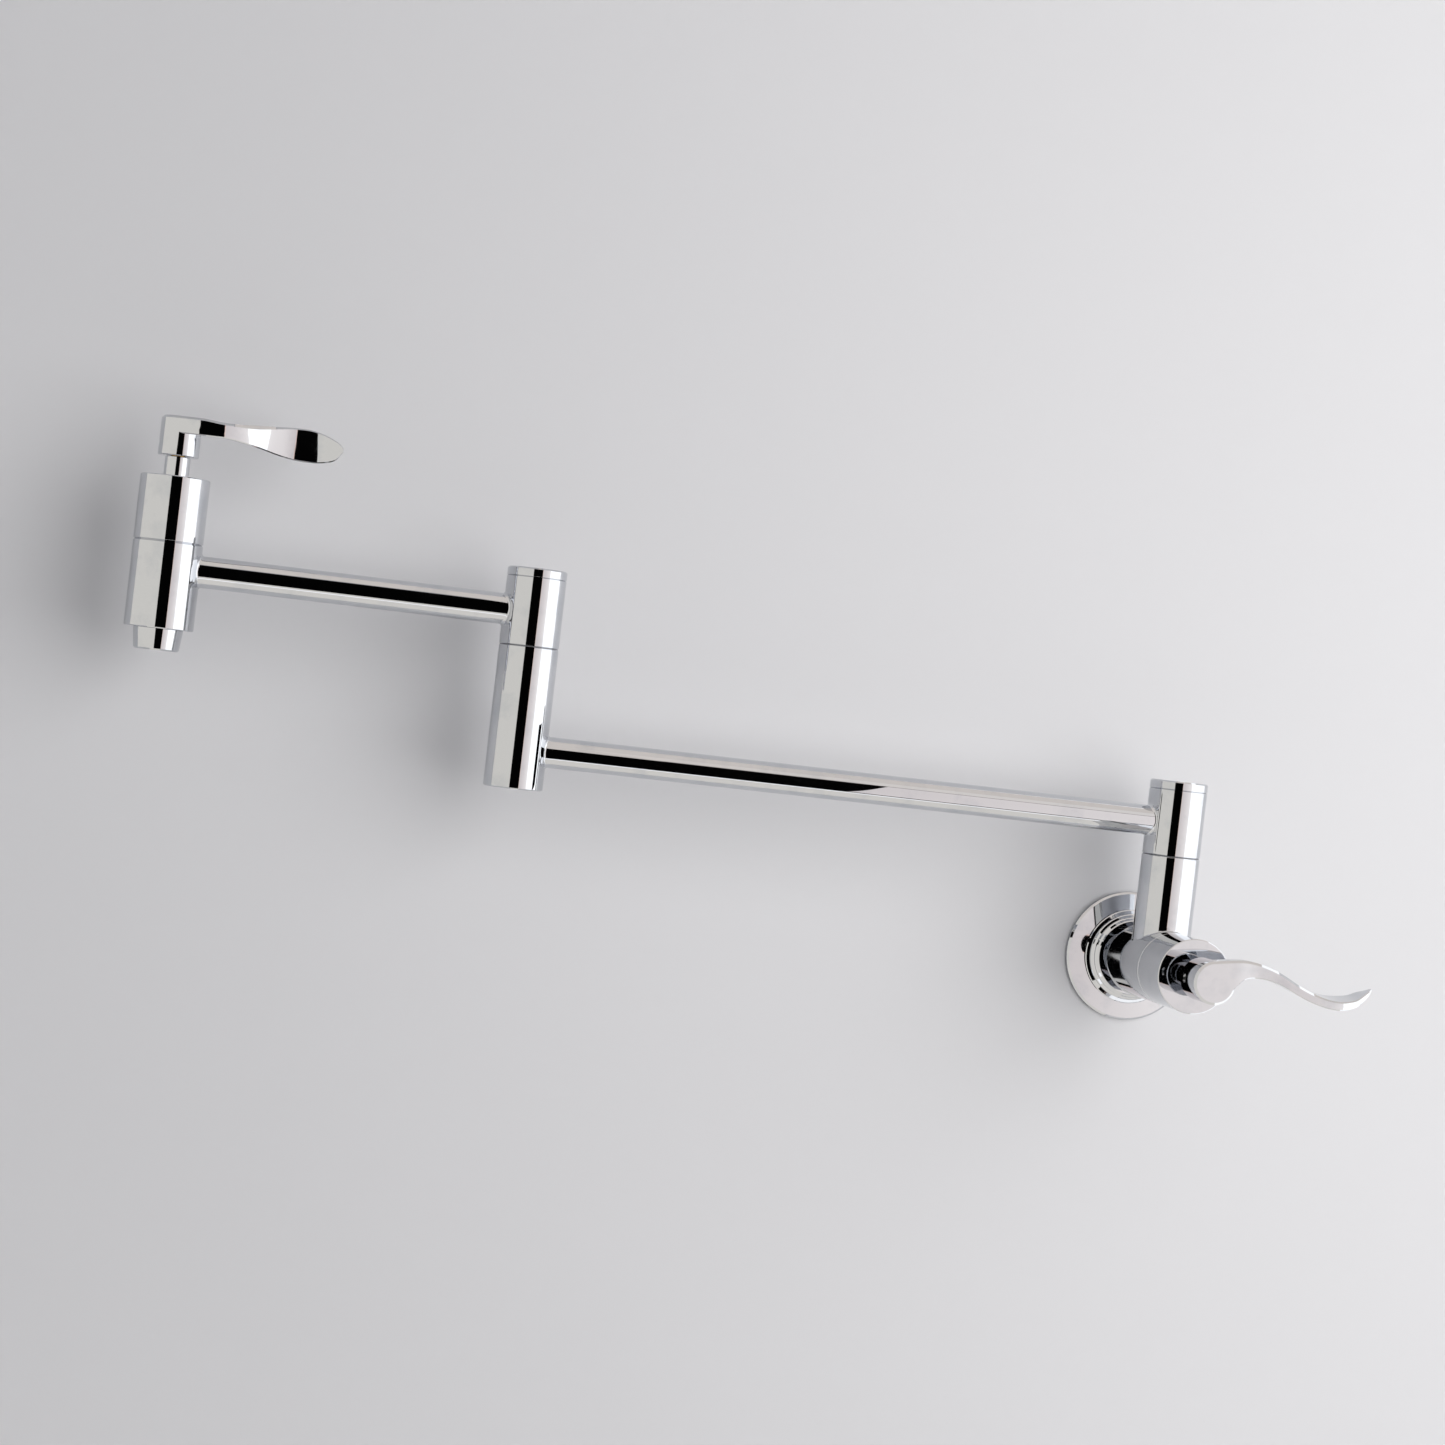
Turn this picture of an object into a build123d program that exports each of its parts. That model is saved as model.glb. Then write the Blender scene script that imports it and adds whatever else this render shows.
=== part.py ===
"""Wall mounted pot filler: two swinging arms, a valve at the wall and a valve at the outlet.

Millimetres, +Z up. The wall is the plane y = 0 and the object stands out of it towards -Y.
The origin is the centre of the threaded inlet where it meets the wall. At rest both arms
lie along -X and both levers point along +X.
"""

import math
import os

from build123d import *

# ---- driving dimensions -------------------------------------------------------------------

# Arms
long_reach = 400.0  # riser axis to middle joint axis
short_reach = 210.0  # middle joint axis to outlet axis
tube_r = 9.0
tube_wall = 1.2
spigot_step = 0.6  # how much a tube's turned end is smaller than the tube, in radius
spigot_length = 6.0  # how far a tube's turned end goes into its sleeve
stub_length = 2.6  # how far the stub round a tube stands out of its sleeve
stub_fillet = 1.5

# Valve body at the wall, along its axis from the wall towards the room
body_r = 21.9
body_back = 27.0
body_front = 123.5
riser_offset = 59.0  # wall to riser axis
riser_r = 17.4
riser_top = 66.0
riser_fillet = 0.8  # where the riser meets the body

# Upper sleeves, which are alike on the riser and on the middle joint
sleeve_r = 17.3
sleeve_length = 39.5
cap_height = 5.3
cap_edge = 0.8

# Middle joint's lower sleeve
mid_sleeve_length = 81.8
mid_tube_height = 22.7  # from the sleeve's bottom to the long tube's axis
mid_foot_edge = 0.6

# Outlet valve
outlet_r = 19.6
outlet_below_tube = 34.4
outlet_above_tube = 14.5

# Bonnets and stem sleeves, which are alike on both valves
bonnet_length = 36.9
bonnet_wall = 3.2
bonnet_front_wall = 4.0
stem_sleeve_r = 7.1
stem_sleeve_gap = 11.3  # how far the stem sleeve shows between bonnet and hub
stem_flange_r = 9.5  # the stem sleeve's own flange, inside the bonnet
stem_flange_t = 2.0

# Hubs and levers: the wall valve's and the smaller one on the outlet
valve_hub_r = 12.5
valve_hub_length = 24.7
valve_lever_scale = 1.0  # of the strap's stations
outlet_hub_r = 11.5
outlet_hub_length = 22.4
outlet_lever_scale = 0.94
hub_edge = 1.4  # bevel round a hub's front
lever_reach = 97.0  # hub axis to tip
lever_root_width = 10.3
lever_spoon_width = 19.9
lever_twist = 1.6  # how much higher the spoon's inner edge lies than its outer edge
lever_edge = 0.6
lever_inset = 0.04  # how far the strap's flat side lies behind the hub's front
lever_rise = 0.15  # slope at which the strap's upper side leaves the hub

# Swivel joints
washer_t = 0.5
washer_inset = 0.5  # how far a swivel washer's rim lies inside the sleeve's
spindle_r = 9.5
spindle_bore_r = 5.5
spindle_collar = 1.1  # the spindle's thread below the seam is this much larger in radius
spindle_roof = 4.0  # solid metal above the spindle's waterway
spindle_window_r = 4.0
stud_r = 6.0  # the spindle's threaded end under its nut
stud_end = 0.5  # how far the stud stands out of its nut
low_ring_height = 6.0  # lower O-ring, above the seam
high_ring_drop = 2.6  # upper O-ring, below the sleeve's inner shelf
swivel_thread_depth = 14.0
thrust_washer_t = 1.2
thrust_washer_inset = 1.0
nut_across_flats = 19.0
nut_t = 4.8
cap_plug = 3.0
cap_wall = 3.3  # a sleeve's wall round its cap's thread
chamber_depth = 3.0  # the water chamber round a spindle: how deep, and half how high
chamber_half = 8.2

# Disc cartridge, the same in both valves, measured from its seat
seat_depth = 36.6  # from the bonnet seam back to the seat
barrel_r = 12.0
barrel_wall = 1.8
barrel_foot = 0.6  # above the seat
barrel_window = 9.0
shoulder = 2.5  # the chamber's radius over the barrel's
nose_wall = 3.7  # of the body's nose, which the bonnet slides over
nose_length = 8.4
flange_start = 30.0
flange_end = 38.0
flange_ring_height = 3.8  # O-ring in the flange, from the flange's start
cartridge_neck_r = 8.0
cartridge_neck_end = 62.0
neck_nut_gap = 0.3
neck_nut_sink = 0.5  # how far the nut stays below the nose's end
seal_t = 2.4
seal_width = 3.2
seal_inset = 0.6
disc_t = 3.2
disc_port_r = 2.7
disc_port_inset = 4.8  # from the barrel's bore in to a port's centre
tongue_length = 12.0  # key between stem and moving disc
tongue_width = 3.0
tongue_t = 1.2
drive_flange_t = 4.2  # the stem's flange on the moving disc
stem_r = 4.2
spline_r = 3.9
spline_length = 17.0

# Waterways
inlet_bore_r = 6.0
riser_bore_r = 7.0
mid_bore_r = 8.5
mid_floor = 1.0  # the middle sleeve's bore starts this far below the tube's bore
outlet_bore_r = 6.0

# Inlet and escutcheon, whose heights are above the wall
inlet_thread_r = 9.4
inlet_thread_length = 16.0
adapter_r = 17.0
adapter_edge = 0.6
adapter_stub_r = 12.0
adapter_stub_length = 13.0
escutcheon_r = 39.6
escutcheon_rim_height = 2.1
escutcheon_rim_bevel = 1.2
escutcheon_rim_width = 2.0  # of the ring that lies on the wall
escutcheon_hollow = 1.4  # height of the hollow just inside that ring
escutcheon_t = 1.6
escutcheon_step_edge = 0.5
escutcheon_steps = [(28.9, 4.4, 6.7), (26.5, 7.4, 9.7), (24.7, 10.4, 12.7)]  # radius, foot, top
escutcheon_collar_r = 23.1
escutcheon_collar_front = 14.0
escutcheon_collar_edge = 0.6
escutcheon_ring_height = 12.3

# Aerator
aerator_r = 14.0
aerator_tip_r = 12.8
aerator_length = 12.3
aerator_tip_edge = 0.8
aerator_top_edge = 0.2
aerator_thread_r = 11.2
aerator_thread_length = 6.5
aerator_wall = 1.6
aerator_lip_r = 9.0
aerator_lip_t = 2.6
aerator_lip_edge = 0.6
aerator_seat = 1.0  # the washer's seat, below the thread's end
cell_pitch_r = 1.9
cell_wall = 0.5
cell_rows = 5
insert_drop = 3.0  # the insert's top, below the thread's end
screen_pitch = 2.4
screen_hole = 1.3
screen_rows = 6
screen_t = 0.6
aerator_washer_t = 1.4
aerator_washer_bore = 1.2  # the washer's bore over the outlet's, in radius

# Set screw in a hub
set_screw_r = 2.5
set_screw_height = 7.0  # from the hub's back
set_screw_sink = 0.7  # below the hub's surface
set_screw_socket_r = 1.25
set_screw_socket_depth = 2.2

# ---- clearances and small edges -----------------------------------------------------------

thread_gap = 0.05  # radial, between a thread's two plain cylinders
running_gap = 0.06  # radial, between a turning piece and its bearing
free_gap = 0.3  # between pieces that move past each other
ring_cord_r = 0.87  # half an O-ring's cord
ring_gap = 0.03  # round an O-ring
ring_half = 1.0  # half the width of an O-ring's groove
disc_gap = 0.1  # round the fixed disc, and at the end of the tongue's slot
flange_gap = 0.2  # round the cartridge's flange
end_gap = 0.4  # past the end of a thread
nose_gap = 0.6  # past the end of a body's nose
screw_gap = 0.02  # between a set screw and the stem
thrust_gap = 0.1  # under a thrust washer
seam_edge = 0.4  # chamfer that shows a seam as a fine line
outlet_seam_edge = 0.7  # the outlet's body and bonnet meet in a broader groove
rim_edge = 0.5  # chamfer on the rims of bodies, bonnets and hubs
tip_edge = 0.3  # chamfer on a stem sleeve's end

# ---- worked out ---------------------------------------------------------------------------

arm_height = riser_top + washer_t + sleeve_length / 2
mid_bottom = arm_height - mid_tube_height
mid_seam = mid_bottom + mid_sleeve_length
short_height = mid_seam + washer_t + sleeve_length / 2
outlet_bottom = short_height - outlet_below_tube
outlet_seam = short_height + outlet_above_tube
mid_x = -long_reach
outlet_x = mid_x - short_reach
body_seam = body_front - bonnet_length
valve_seat = body_seam - seat_depth
outlet_seat = outlet_seam - seat_depth
hub_back = bonnet_length + stem_sleeve_gap + free_gap  # from the bonnet seam
spindle_end = washer_t + sleeve_length - cap_plug - end_gap  # above the swivel seam
shelf_height = spindle_end - stud_end - nut_t - thrust_washer_t - thrust_gap  # inner shelf
tube_bore_r = tube_r - tube_wall
spigot_r = tube_r - spigot_step
sleeve_bore_r = spindle_r + running_gap
swivel_thread_r = spindle_r + spindle_collar
cap_thread_r = sleeve_r - cap_wall
barrel_bore_r = barrel_r - barrel_wall
chamber_r = barrel_r + shoulder
nose_r = chamber_r + nose_wall

# Planes whose local x is a radius and whose local y runs along a turned piece's axis
wall_axis = Plane(origin=(0, 0, 0), x_dir=(1, 0, 0), z_dir=(0, 0, -1))
riser_axis = Plane(origin=(0, -riser_offset, 0), x_dir=(1, 0, 0), z_dir=(0, -1, 0))
mid_axis = Plane(origin=(mid_x, -riser_offset, 0), x_dir=(1, 0, 0), z_dir=(0, -1, 0))
outlet_axis = Plane(origin=(outlet_x, -riser_offset, 0), x_dir=(1, 0, 0), z_dir=(0, -1, 0))


def axis_of(plane):
    """The line that a plane's local y axis lies on."""
    return Axis(plane.origin, plane.y_dir)


def across(plane, height):
    """The plane square to a turned piece's axis, at a height along it."""
    return Plane(
        origin=plane.from_local_coords((0, height, 0)), x_dir=plane.x_dir, z_dir=plane.y_dir
    )


def turn(plane, points, mode=Mode.ADD):
    """Adds or cuts a closed outline of (radius, height) points turned about the plane's axis."""
    with BuildSketch(plane) as outline:
        with BuildLine():
            Polyline(*points, close=True)
        make_face()
    revolve(outline.sketch, axis=axis_of(plane), mode=mode)


def ring_piece(plane, height, inner_r):
    """An O-ring that lies a little clear of a groove's floor or a shaft of radius inner_r."""
    with BuildSketch(plane) as section:
        with Locations((inner_r + ring_gap + ring_cord_r, height)):
            Circle(ring_cord_r)
    revolve(section.sketch, axis=axis_of(plane))


def ring_groove(height, inner_r, outer_r):
    """The outline of an O-ring's groove."""
    low = height - ring_half
    high = height + ring_half
    return [(inner_r, low), (outer_r, low), (outer_r, high), (inner_r, high)]


def cylinder_points(r, low, high, edge=0.0, top_edge=0.0):
    """The outline of a plain cylinder with bevelled rims."""
    points = [(0, low), (r - edge, low)]
    if edge:
        points.append((r, low + edge))
    if top_edge:
        points.append((r, high - top_edge))
    points += [(r - top_edge, high), (0, high)]
    return points


def save(piece, name):
    """Labels a finished piece and writes it."""
    piece.part.label = name
    export_step(piece.part, f"parts/{name}.step")


def sleeve_side(x, z, direction):
    """The plane through a vertical sleeve's axis that faces its tube."""
    return Plane(origin=(x, -riser_offset, z), x_dir=(0, 1, 0), z_dir=(direction, 0, 0))


def add_stub(x, z, direction, r_outer):
    """A short filleted stub that a tube's end is soldered into, on a vertical sleeve."""
    with BuildSketch(sleeve_side(x, z, direction)) as stub:
        Circle(tube_r)
    extrude(stub.sketch, amount=r_outer + stub_length)
    rim = edges(Select.NEW).filter_by(GeomType.BSPLINE)
    fillet(rim, stub_fillet)


def cut_socket(x, z, direction, r_outer):
    """The bore for a tube's spigot and the waterway behind it."""
    mouth = r_outer + stub_length
    side = sleeve_side(x, z, direction)
    with BuildSketch(side.offset(mouth - spigot_length)) as socket:
        Circle(spigot_r + thread_gap)
    extrude(socket.sketch, amount=spigot_length, mode=Mode.SUBTRACT)
    with BuildSketch(side) as way:
        Circle(tube_bore_r)
    extrude(way.sketch, amount=mouth, mode=Mode.SUBTRACT)


# ---- valve body and what stands on it -----------------------------------------------------


def make_escutcheon():
    """Stepped wall flange: a broad, slightly coned rim and three steps up to a collar."""
    bore_r = adapter_r + free_gap
    outer = [
        (escutcheon_r, 0),
        (escutcheon_r, escutcheon_rim_height),
        (escutcheon_r - escutcheon_rim_bevel, escutcheon_rim_height + escutcheon_rim_bevel),
    ]
    hollow_r = escutcheon_r - escutcheon_rim_width
    inner = [(hollow_r, 0), (hollow_r, escutcheon_hollow)]
    for r, foot, top in escutcheon_steps:
        outer += [(r, foot), (r, top - escutcheon_step_edge), (r - escutcheon_step_edge, top)]
        inner += [(r - escutcheon_t, foot - escutcheon_t), (r - escutcheon_t, top - escutcheon_t)]
    outer += [
        (escutcheon_collar_r, escutcheon_collar_front - escutcheon_collar_edge),
        (escutcheon_collar_r - escutcheon_collar_edge, escutcheon_collar_front),
        (bore_r, escutcheon_collar_front),
    ]
    inner.append((bore_r, inner[-1][1] - escutcheon_collar_edge))
    groove_r = adapter_r + 2 * (ring_gap + ring_cord_r)
    with BuildPart() as escutcheon:
        turn(wall_axis, outer + inner[::-1])
        turn(wall_axis, ring_groove(escutcheon_ring_height, adapter_r, groove_r), Mode.SUBTRACT)
    save(escutcheon, "escutcheon")
    with BuildPart() as o_ring:
        ring_piece(wall_axis, escutcheon_ring_height, adapter_r)
    save(o_ring, "escutcheon_o_ring")


def make_inlet_adapter():
    """Plated adapter that screws into the body; its rear bore takes the wall's nipple."""
    front = body_back + adapter_stub_length
    points = [
        (inlet_thread_r, 0),
        (adapter_r - adapter_edge, 0),
        (adapter_r, adapter_edge),
        (adapter_r, body_back),
        (adapter_stub_r, body_back),
        (adapter_stub_r, front),
        (inlet_bore_r, front),
        (inlet_bore_r, inlet_thread_length),
        (inlet_thread_r, inlet_thread_length),
    ]
    with BuildPart() as adapter:
        turn(wall_axis, points)
    save(adapter, "inlet_adapter")


def body_outline(r, low, seam, edge):
    """A valve body's outline up to its seam, with the nose that its bonnet slides over."""
    return [
        (0, low),
        (r - rim_edge, low),
        (r, low + rim_edge),
        (r, seam - edge),
        (r - edge, seam),
        (nose_r, seam),
        (nose_r, seam + nose_length),
        (0, seam + nose_length),
    ]


def make_valve_body():
    """Horizontal body with the vertical riser on top, bored for the cartridge and the water."""
    stub_end = body_back + adapter_stub_length + free_gap
    inside = [
        (0, body_back),
        (adapter_stub_r + thread_gap, body_back),
        (adapter_stub_r + thread_gap, stub_end),
        (inlet_bore_r, stub_end),
        (inlet_bore_r, valve_seat),
        (chamber_r, valve_seat),
        (chamber_r, body_seam + nose_length),
        (0, body_seam + nose_length),
    ]
    thread_foot = riser_top - swivel_thread_depth
    waterway = [
        (0, 0),
        (riser_bore_r, 0),
        (riser_bore_r, thread_foot),
        (swivel_thread_r + thread_gap, thread_foot),
        (swivel_thread_r + thread_gap, riser_top),
        (0, riser_top),
    ]
    with BuildPart() as valve_body:
        turn(wall_axis, body_outline(body_r, body_back, body_seam, seam_edge))
        turn(riser_axis, cylinder_points(riser_r, 0, riser_top, top_edge=seam_edge))
        saddle = edges(Select.NEW).filter_by(GeomType.BSPLINE)
        fillet(saddle, riser_fillet)
        turn(wall_axis, inside, Mode.SUBTRACT)
        turn(riser_axis, waterway, Mode.SUBTRACT)
    save(valve_body, "valve_body")


# ---- swivel joint: spindle, washers, sleeve, nut and cap ----------------------------------


def make_spindle(prefix, plane, seam):
    """The standing spindle with its water windows, and the two O-rings in its grooves."""
    foot = seam - swivel_thread_depth + end_gap
    shelf = seam + shelf_height + thrust_gap
    top = seam + spindle_end
    groove_r = spindle_r - 2 * (ring_gap + ring_cord_r)
    ring_heights = [seam + low_ring_height, seam + shelf_height - high_ring_drop]
    roof = seam + shelf_height - spindle_roof
    body = [
        (spindle_bore_r, foot),
        (swivel_thread_r, foot),
        (swivel_thread_r, seam),
        (spindle_r, seam),
        (spindle_r, shelf),
        (stud_r, shelf),
        (stud_r, top),
        (0, top),
        (0, roof),
        (spindle_bore_r, roof),
    ]
    port = across(plane, seam + washer_t + sleeve_length / 2)
    with BuildPart() as spindle:
        turn(plane, body)
        for height in ring_heights:
            turn(plane, ring_groove(height, groove_r, swivel_thread_r), Mode.SUBTRACT)
        for facing in (port.x_dir, port.y_dir):
            side = Plane(origin=port.origin, x_dir=port.z_dir, z_dir=facing)
            with BuildSketch(side) as window:
                Circle(spindle_window_r)
            extrude(window.sketch, amount=swivel_thread_r, both=True, mode=Mode.SUBTRACT)
    save(spindle, f"{prefix}_spindle")
    with BuildPart() as rings:
        for height in ring_heights:
            ring_piece(plane, height, groove_r)
    save(rings, f"{prefix}_o_rings")


def make_swivel(prefix, plane, seam):
    """The spindle and what sits round it, on the riser or on the middle joint."""
    make_spindle(prefix, plane, seam)
    washer_r = sleeve_r - washer_inset
    washer_top = seam + washer_t
    thrust_foot = seam + shelf_height + thrust_gap
    nut_foot = thrust_foot + thrust_washer_t
    with BuildPart() as washer:
        turn(
            plane,
            [
                (sleeve_bore_r, seam),
                (washer_r, seam),
                (washer_r, washer_top),
                (sleeve_bore_r, washer_top),
            ],
        )
    save(washer, f"{prefix}_swivel_washer")
    with BuildPart() as thrust:
        with BuildSketch(across(plane, thrust_foot)) as face:
            Circle(cap_thread_r - thrust_washer_inset)
            Circle(stud_r + thread_gap, mode=Mode.SUBTRACT)
        extrude(face.sketch, amount=thrust_washer_t)
    save(thrust, f"{prefix}_thrust_washer")
    with BuildPart() as nut:
        with BuildSketch(across(plane, nut_foot)) as hexagon:
            RegularPolygon(nut_across_flats / 2, 6, major_radius=False)
            Circle(stud_r + thread_gap, mode=Mode.SUBTRACT)
        extrude(hexagon.sketch, amount=nut_t)
    save(nut, f"{prefix}_retaining_nut")


def make_upper_sleeve(name, plane, seam, x):
    """Sleeve that turns on a spindle and carries an arm's tube on its left."""
    low = seam + washer_t
    high = low + sleeve_length
    port = low + sleeve_length / 2
    shelf = seam + shelf_height
    inside = [
        (0, low),
        (sleeve_bore_r, low),
        (sleeve_bore_r, port - chamber_half),
        (spindle_r + chamber_depth, port - chamber_half),
        (spindle_r + chamber_depth, port + chamber_half),
        (sleeve_bore_r, port + chamber_half),
        (sleeve_bore_r, shelf),
        (cap_thread_r + thread_gap, shelf),
        (cap_thread_r + thread_gap, high),
        (0, high),
    ]
    with BuildPart() as sleeve:
        turn(plane, cylinder_points(sleeve_r, low, high, edge=seam_edge, top_edge=seam_edge))
        add_stub(x, port, -1, sleeve_r)
        turn(plane, inside, Mode.SUBTRACT)
        cut_socket(x, port, -1, sleeve_r)
    save(sleeve, name)


def make_cap(name, plane, seam):
    """Cap that screws into the top of an upper sleeve."""
    low = seam + washer_t + sleeve_length
    points = [
        (0, low - cap_plug),
        (cap_thread_r - end_gap, low - cap_plug),
        (cap_thread_r, low - cap_plug + end_gap),
        (cap_thread_r, low),
        (sleeve_r - seam_edge, low),
        (sleeve_r, low + seam_edge),
        (sleeve_r, low + cap_height - cap_edge),
        (sleeve_r - cap_edge, low + cap_height),
        (0, low + cap_height),
    ]
    with BuildPart() as cap:
        turn(plane, points)
    save(cap, name)


def make_tube(name, x_from, x_to, r_from, r_to, height):
    """Straight arm tube between two stubs, with a turned spigot in each."""
    start = x_from - r_from - stub_length
    length = start - (x_to + r_to + stub_length)
    points = [
        (tube_bore_r, -spigot_length),
        (spigot_r, -spigot_length),
        (spigot_r, 0),
        (tube_r, 0),
        (tube_r, length),
        (spigot_r, length),
        (spigot_r, length + spigot_length),
        (tube_bore_r, length + spigot_length),
    ]
    along = Plane(origin=(start, -riser_offset, height), x_dir=(0, 0, 1), z_dir=(0, -1, 0))
    with BuildPart() as tube:
        turn(along, points)
    save(tube, name)


def make_mid_sleeve():
    """Middle joint's lower sleeve: takes the long tube low down and the spindle at its top."""
    thread_foot = mid_seam - swivel_thread_depth
    water_foot = arm_height - tube_bore_r - mid_floor
    inside = [
        (0, water_foot),
        (mid_bore_r, water_foot),
        (mid_bore_r, thread_foot),
        (swivel_thread_r + thread_gap, thread_foot),
        (swivel_thread_r + thread_gap, mid_seam),
        (0, mid_seam),
    ]
    with BuildPart() as sleeve:
        turn(
            mid_axis,
            cylinder_points(sleeve_r, mid_bottom, mid_seam, edge=mid_foot_edge, top_edge=seam_edge),
        )
        add_stub(mid_x, arm_height, 1, sleeve_r)
        turn(mid_axis, inside, Mode.SUBTRACT)
        cut_socket(mid_x, arm_height, 1, sleeve_r)
    save(sleeve, "mid_lower_sleeve")


# ---- valves: cartridge, bonnet, stem sleeve -----------------------------------------------


def disc_ports(plane, height, angle):
    """Cuts a ceramic disc's two water ports."""
    with BuildSketch(across(plane, height)) as ports:
        with PolarLocations(barrel_bore_r - disc_port_inset, 2, start_angle=angle):
            Circle(disc_port_r)
    extrude(ports.sketch, amount=disc_t, mode=Mode.SUBTRACT)


def make_discs(prefix, plane, seat):
    """Seat seal, fixed disc and moving disc, one on the other."""
    fixed_foot = seat + seal_t
    moving_foot = fixed_foot + disc_t
    stem_foot = moving_foot + disc_t
    seal_r = barrel_bore_r - seal_inset
    seal_bore = seal_r - seal_width
    with BuildPart() as seal:
        turn(plane, [(seal_bore, seat), (seal_r, seat), (seal_r, fixed_foot), (seal_bore, fixed_foot)])
    save(seal, f"{prefix}_seat_seal")
    with BuildPart() as fixed_disc:
        turn(plane, cylinder_points(barrel_bore_r - disc_gap, fixed_foot, moving_foot))
        disc_ports(plane, fixed_foot, 0)
    save(fixed_disc, f"{prefix}_fixed_disc")
    with BuildPart() as moving_disc:
        turn(plane, cylinder_points(barrel_bore_r - disc_gap - free_gap, moving_foot, stem_foot))
        disc_ports(plane, moving_foot, 90)
        with BuildSketch(across(plane, stem_foot)) as slot:
            Rectangle(tongue_length + 2 * disc_gap, tongue_width + 2 * disc_gap)
        extrude(slot.sketch, amount=-tongue_t - disc_gap, mode=Mode.SUBTRACT)
    save(moving_disc, f"{prefix}_moving_disc")


def make_cartridge(prefix, plane, seat):
    """Quarter-turn disc cartridge on its seat, with its seal, discs, stem, ring and nut."""
    make_discs(prefix, plane, seat)
    stem_foot = seat + seal_t + 2 * disc_t
    drive_top = stem_foot + drive_flange_t
    flange_r = chamber_r - flange_gap
    flange_foot = seat + flange_start
    flange_top = seat + flange_end
    neck_top = seat + cartridge_neck_end
    ring_height = flange_foot + flange_ring_height
    groove_r = chamber_r - 2 * (ring_gap + ring_cord_r)
    barrel_outline = [
        (barrel_bore_r, seat + barrel_foot),
        (barrel_r, seat + barrel_foot),
        (barrel_r, flange_foot),
        (flange_r, flange_foot),
        (flange_r, flange_top),
        (cartridge_neck_r, flange_top),
        (cartridge_neck_r, neck_top),
        (stem_r + running_gap, neck_top),
        (stem_r + running_gap, drive_top + free_gap),
        (barrel_bore_r, drive_top + free_gap),
    ]
    with BuildPart() as barrel:
        turn(plane, barrel_outline)
        turn(plane, ring_groove(ring_height, groove_r, chamber_r), Mode.SUBTRACT)
        with BuildSketch(across(plane, stem_foot - disc_t + disc_gap)) as windows:
            Rectangle(4 * barrel_r, barrel_window)
        extrude(windows.sketch, amount=disc_t + drive_flange_t - 2 * disc_gap, mode=Mode.SUBTRACT)
    save(barrel, f"{prefix}_cartridge_barrel")
    with BuildPart() as o_ring:
        ring_piece(plane, ring_height, groove_r)
    save(o_ring, f"{prefix}_cartridge_o_ring")
    hub_foot = seat + seat_depth + hub_back
    drive_r = barrel_bore_r - disc_gap - free_gap
    stem_outline = [
        (0, stem_foot),
        (drive_r, stem_foot),
        (drive_r, drive_top),
        (stem_r, drive_top),
        (stem_r, hub_foot - 2 * free_gap),
        (spline_r, hub_foot - free_gap),
        (spline_r, hub_foot + spline_length),
        (0, hub_foot + spline_length),
    ]
    with BuildPart() as stem:
        turn(plane, stem_outline)
        with BuildSketch(across(plane, stem_foot)) as tongue:
            Rectangle(tongue_length, tongue_width)
        extrude(tongue.sketch, amount=-tongue_t)
    save(stem, f"{prefix}_stem")
    nut_foot = flange_top + thread_gap
    nut_top = seat + seat_depth + nose_length - neck_nut_sink
    with BuildPart() as nut:
        with BuildSketch(across(plane, nut_foot)) as face:
            Circle(chamber_r - thread_gap)
            RegularPolygon(
                cartridge_neck_r + neck_nut_gap, 6, major_radius=False, mode=Mode.SUBTRACT
            )
        extrude(face.sketch, amount=nut_top - nut_foot)
    save(nut, f"{prefix}_cartridge_nut")


def make_bonnet(prefix, plane, seam, r, edge):
    """Bonnet cup over the cartridge, and the stem sleeve that stands out of it."""
    front = seam + bonnet_length
    wall_back = front - bonnet_front_wall
    pocket_r = r - bonnet_wall
    nose_bore = nose_r + thread_gap
    nose_end = seam + nose_length + nose_gap
    hole_r = stem_sleeve_r + thread_gap
    points = [
        (nose_bore, seam),
        (r - edge, seam),
        (r, seam + edge),
        (r, front - rim_edge),
        (r - rim_edge, front),
        (hole_r, front),
        (hole_r, wall_back),
        (pocket_r, wall_back),
        (pocket_r, nose_end),
        (nose_bore, nose_end),
    ]
    with BuildPart() as bonnet:
        turn(plane, points)
    save(bonnet, f"{prefix}_bonnet")
    sleeve_top = front + stem_sleeve_gap
    bore = stem_r + free_gap
    sleeve_points = [
        (bore, wall_back - stem_flange_t),
        (stem_flange_r, wall_back - stem_flange_t),
        (stem_flange_r, wall_back),
        (stem_sleeve_r, wall_back),
        (stem_sleeve_r, sleeve_top - tip_edge),
        (stem_sleeve_r - tip_edge, sleeve_top),
        (bore, sleeve_top),
    ]
    with BuildPart() as stem_sleeve:
        turn(plane, sleeve_points)
    save(stem_sleeve, f"{prefix}_stem_sleeve")


# ---- levers -------------------------------------------------------------------------------


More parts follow.
